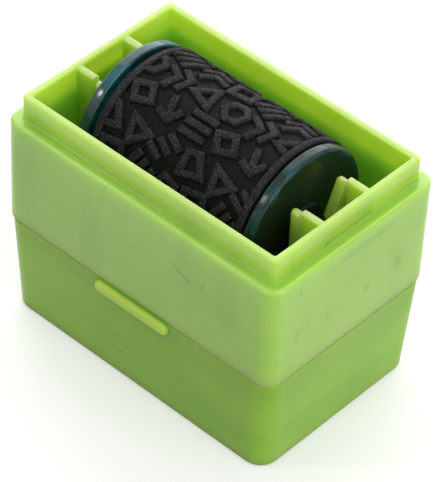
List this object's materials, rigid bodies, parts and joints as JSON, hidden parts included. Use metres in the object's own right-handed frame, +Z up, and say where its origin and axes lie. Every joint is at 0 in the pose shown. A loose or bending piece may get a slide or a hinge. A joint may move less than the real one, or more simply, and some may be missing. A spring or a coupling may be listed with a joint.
{
  "type": "privacy roller stamp",
  "caption": "Handheld roller stamp standing on its posted cap, with a relief printing roller that turns in forks inside an open box body.",
  "frame": {"origin": "middle of the cap's flat underside, on which the stamp stands", "axes": "+X along the roller's axis, +Z up out of the open end with the roller, the cap's thumb lip faces -Y"},
  "size_m": [0.06, 0.0403, 0.051],
  "materials": {
    "body_lime": "glossy moulded plastic, lime green",
    "cap_lime": "glossy moulded plastic, lime green",
    "cradle_lime": "moulded plastic, lime green",
    "end_cap_teal": "glossy moulded plastic, dark teal",
    "core_grey": "moulded plastic, grey",
    "felt_black": "felt soaked with black ink",
    "die_rubber": "microporous rubber, inked black"
  },
  "bodies": {
    "cap": {"cap": "cap_lime"},
    "housing": {"body_shell": "body_lime", "roller_cradle": "cradle_lime"},
    "roller": {"end_cap_left": "end_cap_teal", "end_cap_right": "end_cap_teal", "roller_core": "core_grey", "ink_felt": "felt_black", "stamp_die": "die_rubber"}
  },
  "joints": [
    {"name": "body_lift", "type": "slide", "parent": "cap", "child": "housing", "axis": [0, 0, 1], "range_m": [0, 0.025]},
    {"name": "roller_spin", "type": "hinge", "parent": "housing", "child": "roller", "pos_m": [-0.0004, 0, 0.037], "axis": [1, 0, 0], "continuous": true}
  ]
}
